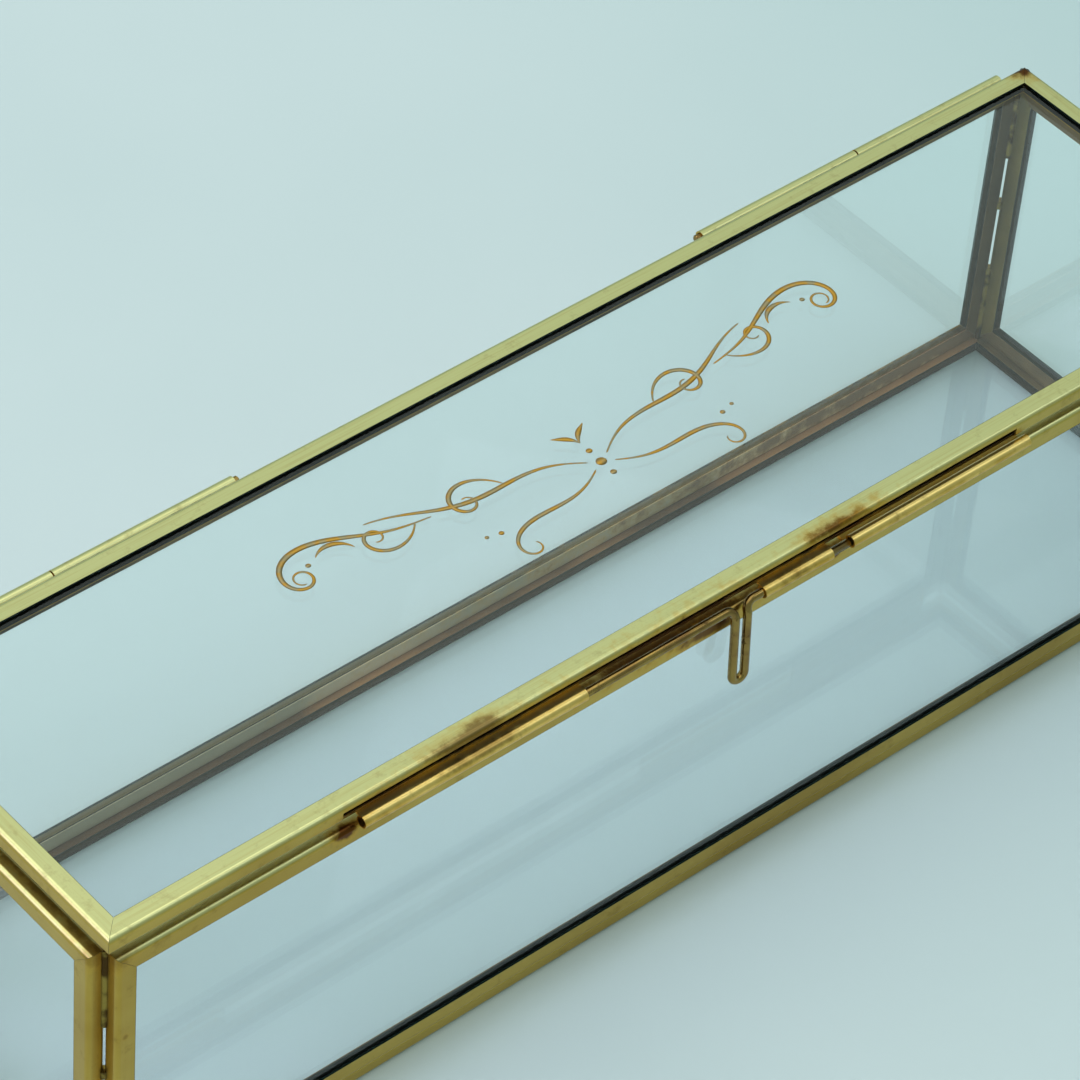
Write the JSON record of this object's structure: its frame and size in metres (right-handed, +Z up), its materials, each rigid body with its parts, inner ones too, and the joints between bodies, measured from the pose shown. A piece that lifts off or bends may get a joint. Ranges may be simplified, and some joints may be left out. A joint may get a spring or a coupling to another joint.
{
  "type": "glass casket box",
  "caption": "Long low display box of glass panes in folded brass channel, with a lid hinged on wire pins and a sliding wire bolt with a hairpin handle.",
  "frame": {"origin": "middle of the bounding box's underside, on the table", "axes": "+X along the box's length to the right as seen from the latch side, +Y to the hinge side, +Z up"},
  "size_m": [0.2546, 0.0724, 0.0692],
  "materials": {
    "glass": "polished float glass",
    "brass": "folded sheet, satin, dulled by handling and flux",
    "rolled_brass": "rolled thin sheet, satin",
    "wire": "drawn wire, darkened",
    "solder": "soft solder, dull grey"
  },
  "bodies": {
    "case": {"bottom_glass": "glass", "front_glass": "glass", "rear_glass": "glass", "left_glass": "glass", "right_glass": "glass", "bottom_strip_front": "brass", "bottom_strip_rear": "brass", "bottom_strip_left": "brass", "bottom_strip_right": "brass", "front_strip_bottom": "brass", "front_strip_top": "brass", "front_strip_left": "brass", "front_strip_right": "brass", "rear_strip_bottom": "brass", "rear_strip_top": "brass", "rear_strip_left": "brass", "rear_strip_right": "brass", "left_strip_bottom": "brass", "left_strip_top": "brass", "left_strip_front": "brass", "left_strip_rear": "brass", "right_strip_bottom": "brass", "right_strip_top": "brass", "right_strip_front": "brass", "right_strip_rear": "brass", "corner_solder": "solder", "case_hinge_sleeve_left": "rolled_brass", "case_hinge_sleeve_right": "rolled_brass", "hinge_pin_left": "wire", "hinge_pin_right": "wire", "keeper_sleeve": "rolled_brass"},
    "lid": {"lid_glass": "glass", "lid_strip_front": "brass", "lid_strip_rear": "brass", "lid_strip_left": "brass", "lid_strip_right": "brass", "lid_hinge_sleeve_left": "rolled_brass", "lid_hinge_sleeve_right": "rolled_brass", "latch_sleeve_long": "rolled_brass", "latch_sleeve_short": "rolled_brass"},
    "bolt": {"bolt_wire": "wire"}
  },
  "joints": [
    {"name": "lid_hinge", "type": "hinge", "parent": "case", "child": "lid", "pos_m": [0, 0.03372, 0.0671], "axis": [-1, 0, 0], "range_deg": [0, 200]},
    {"name": "bolt_slide", "type": "slide", "parent": "lid", "child": "bolt", "axis": [1, 0, 0], "range_m": [-0.0287, 0.0018]}
  ]
}
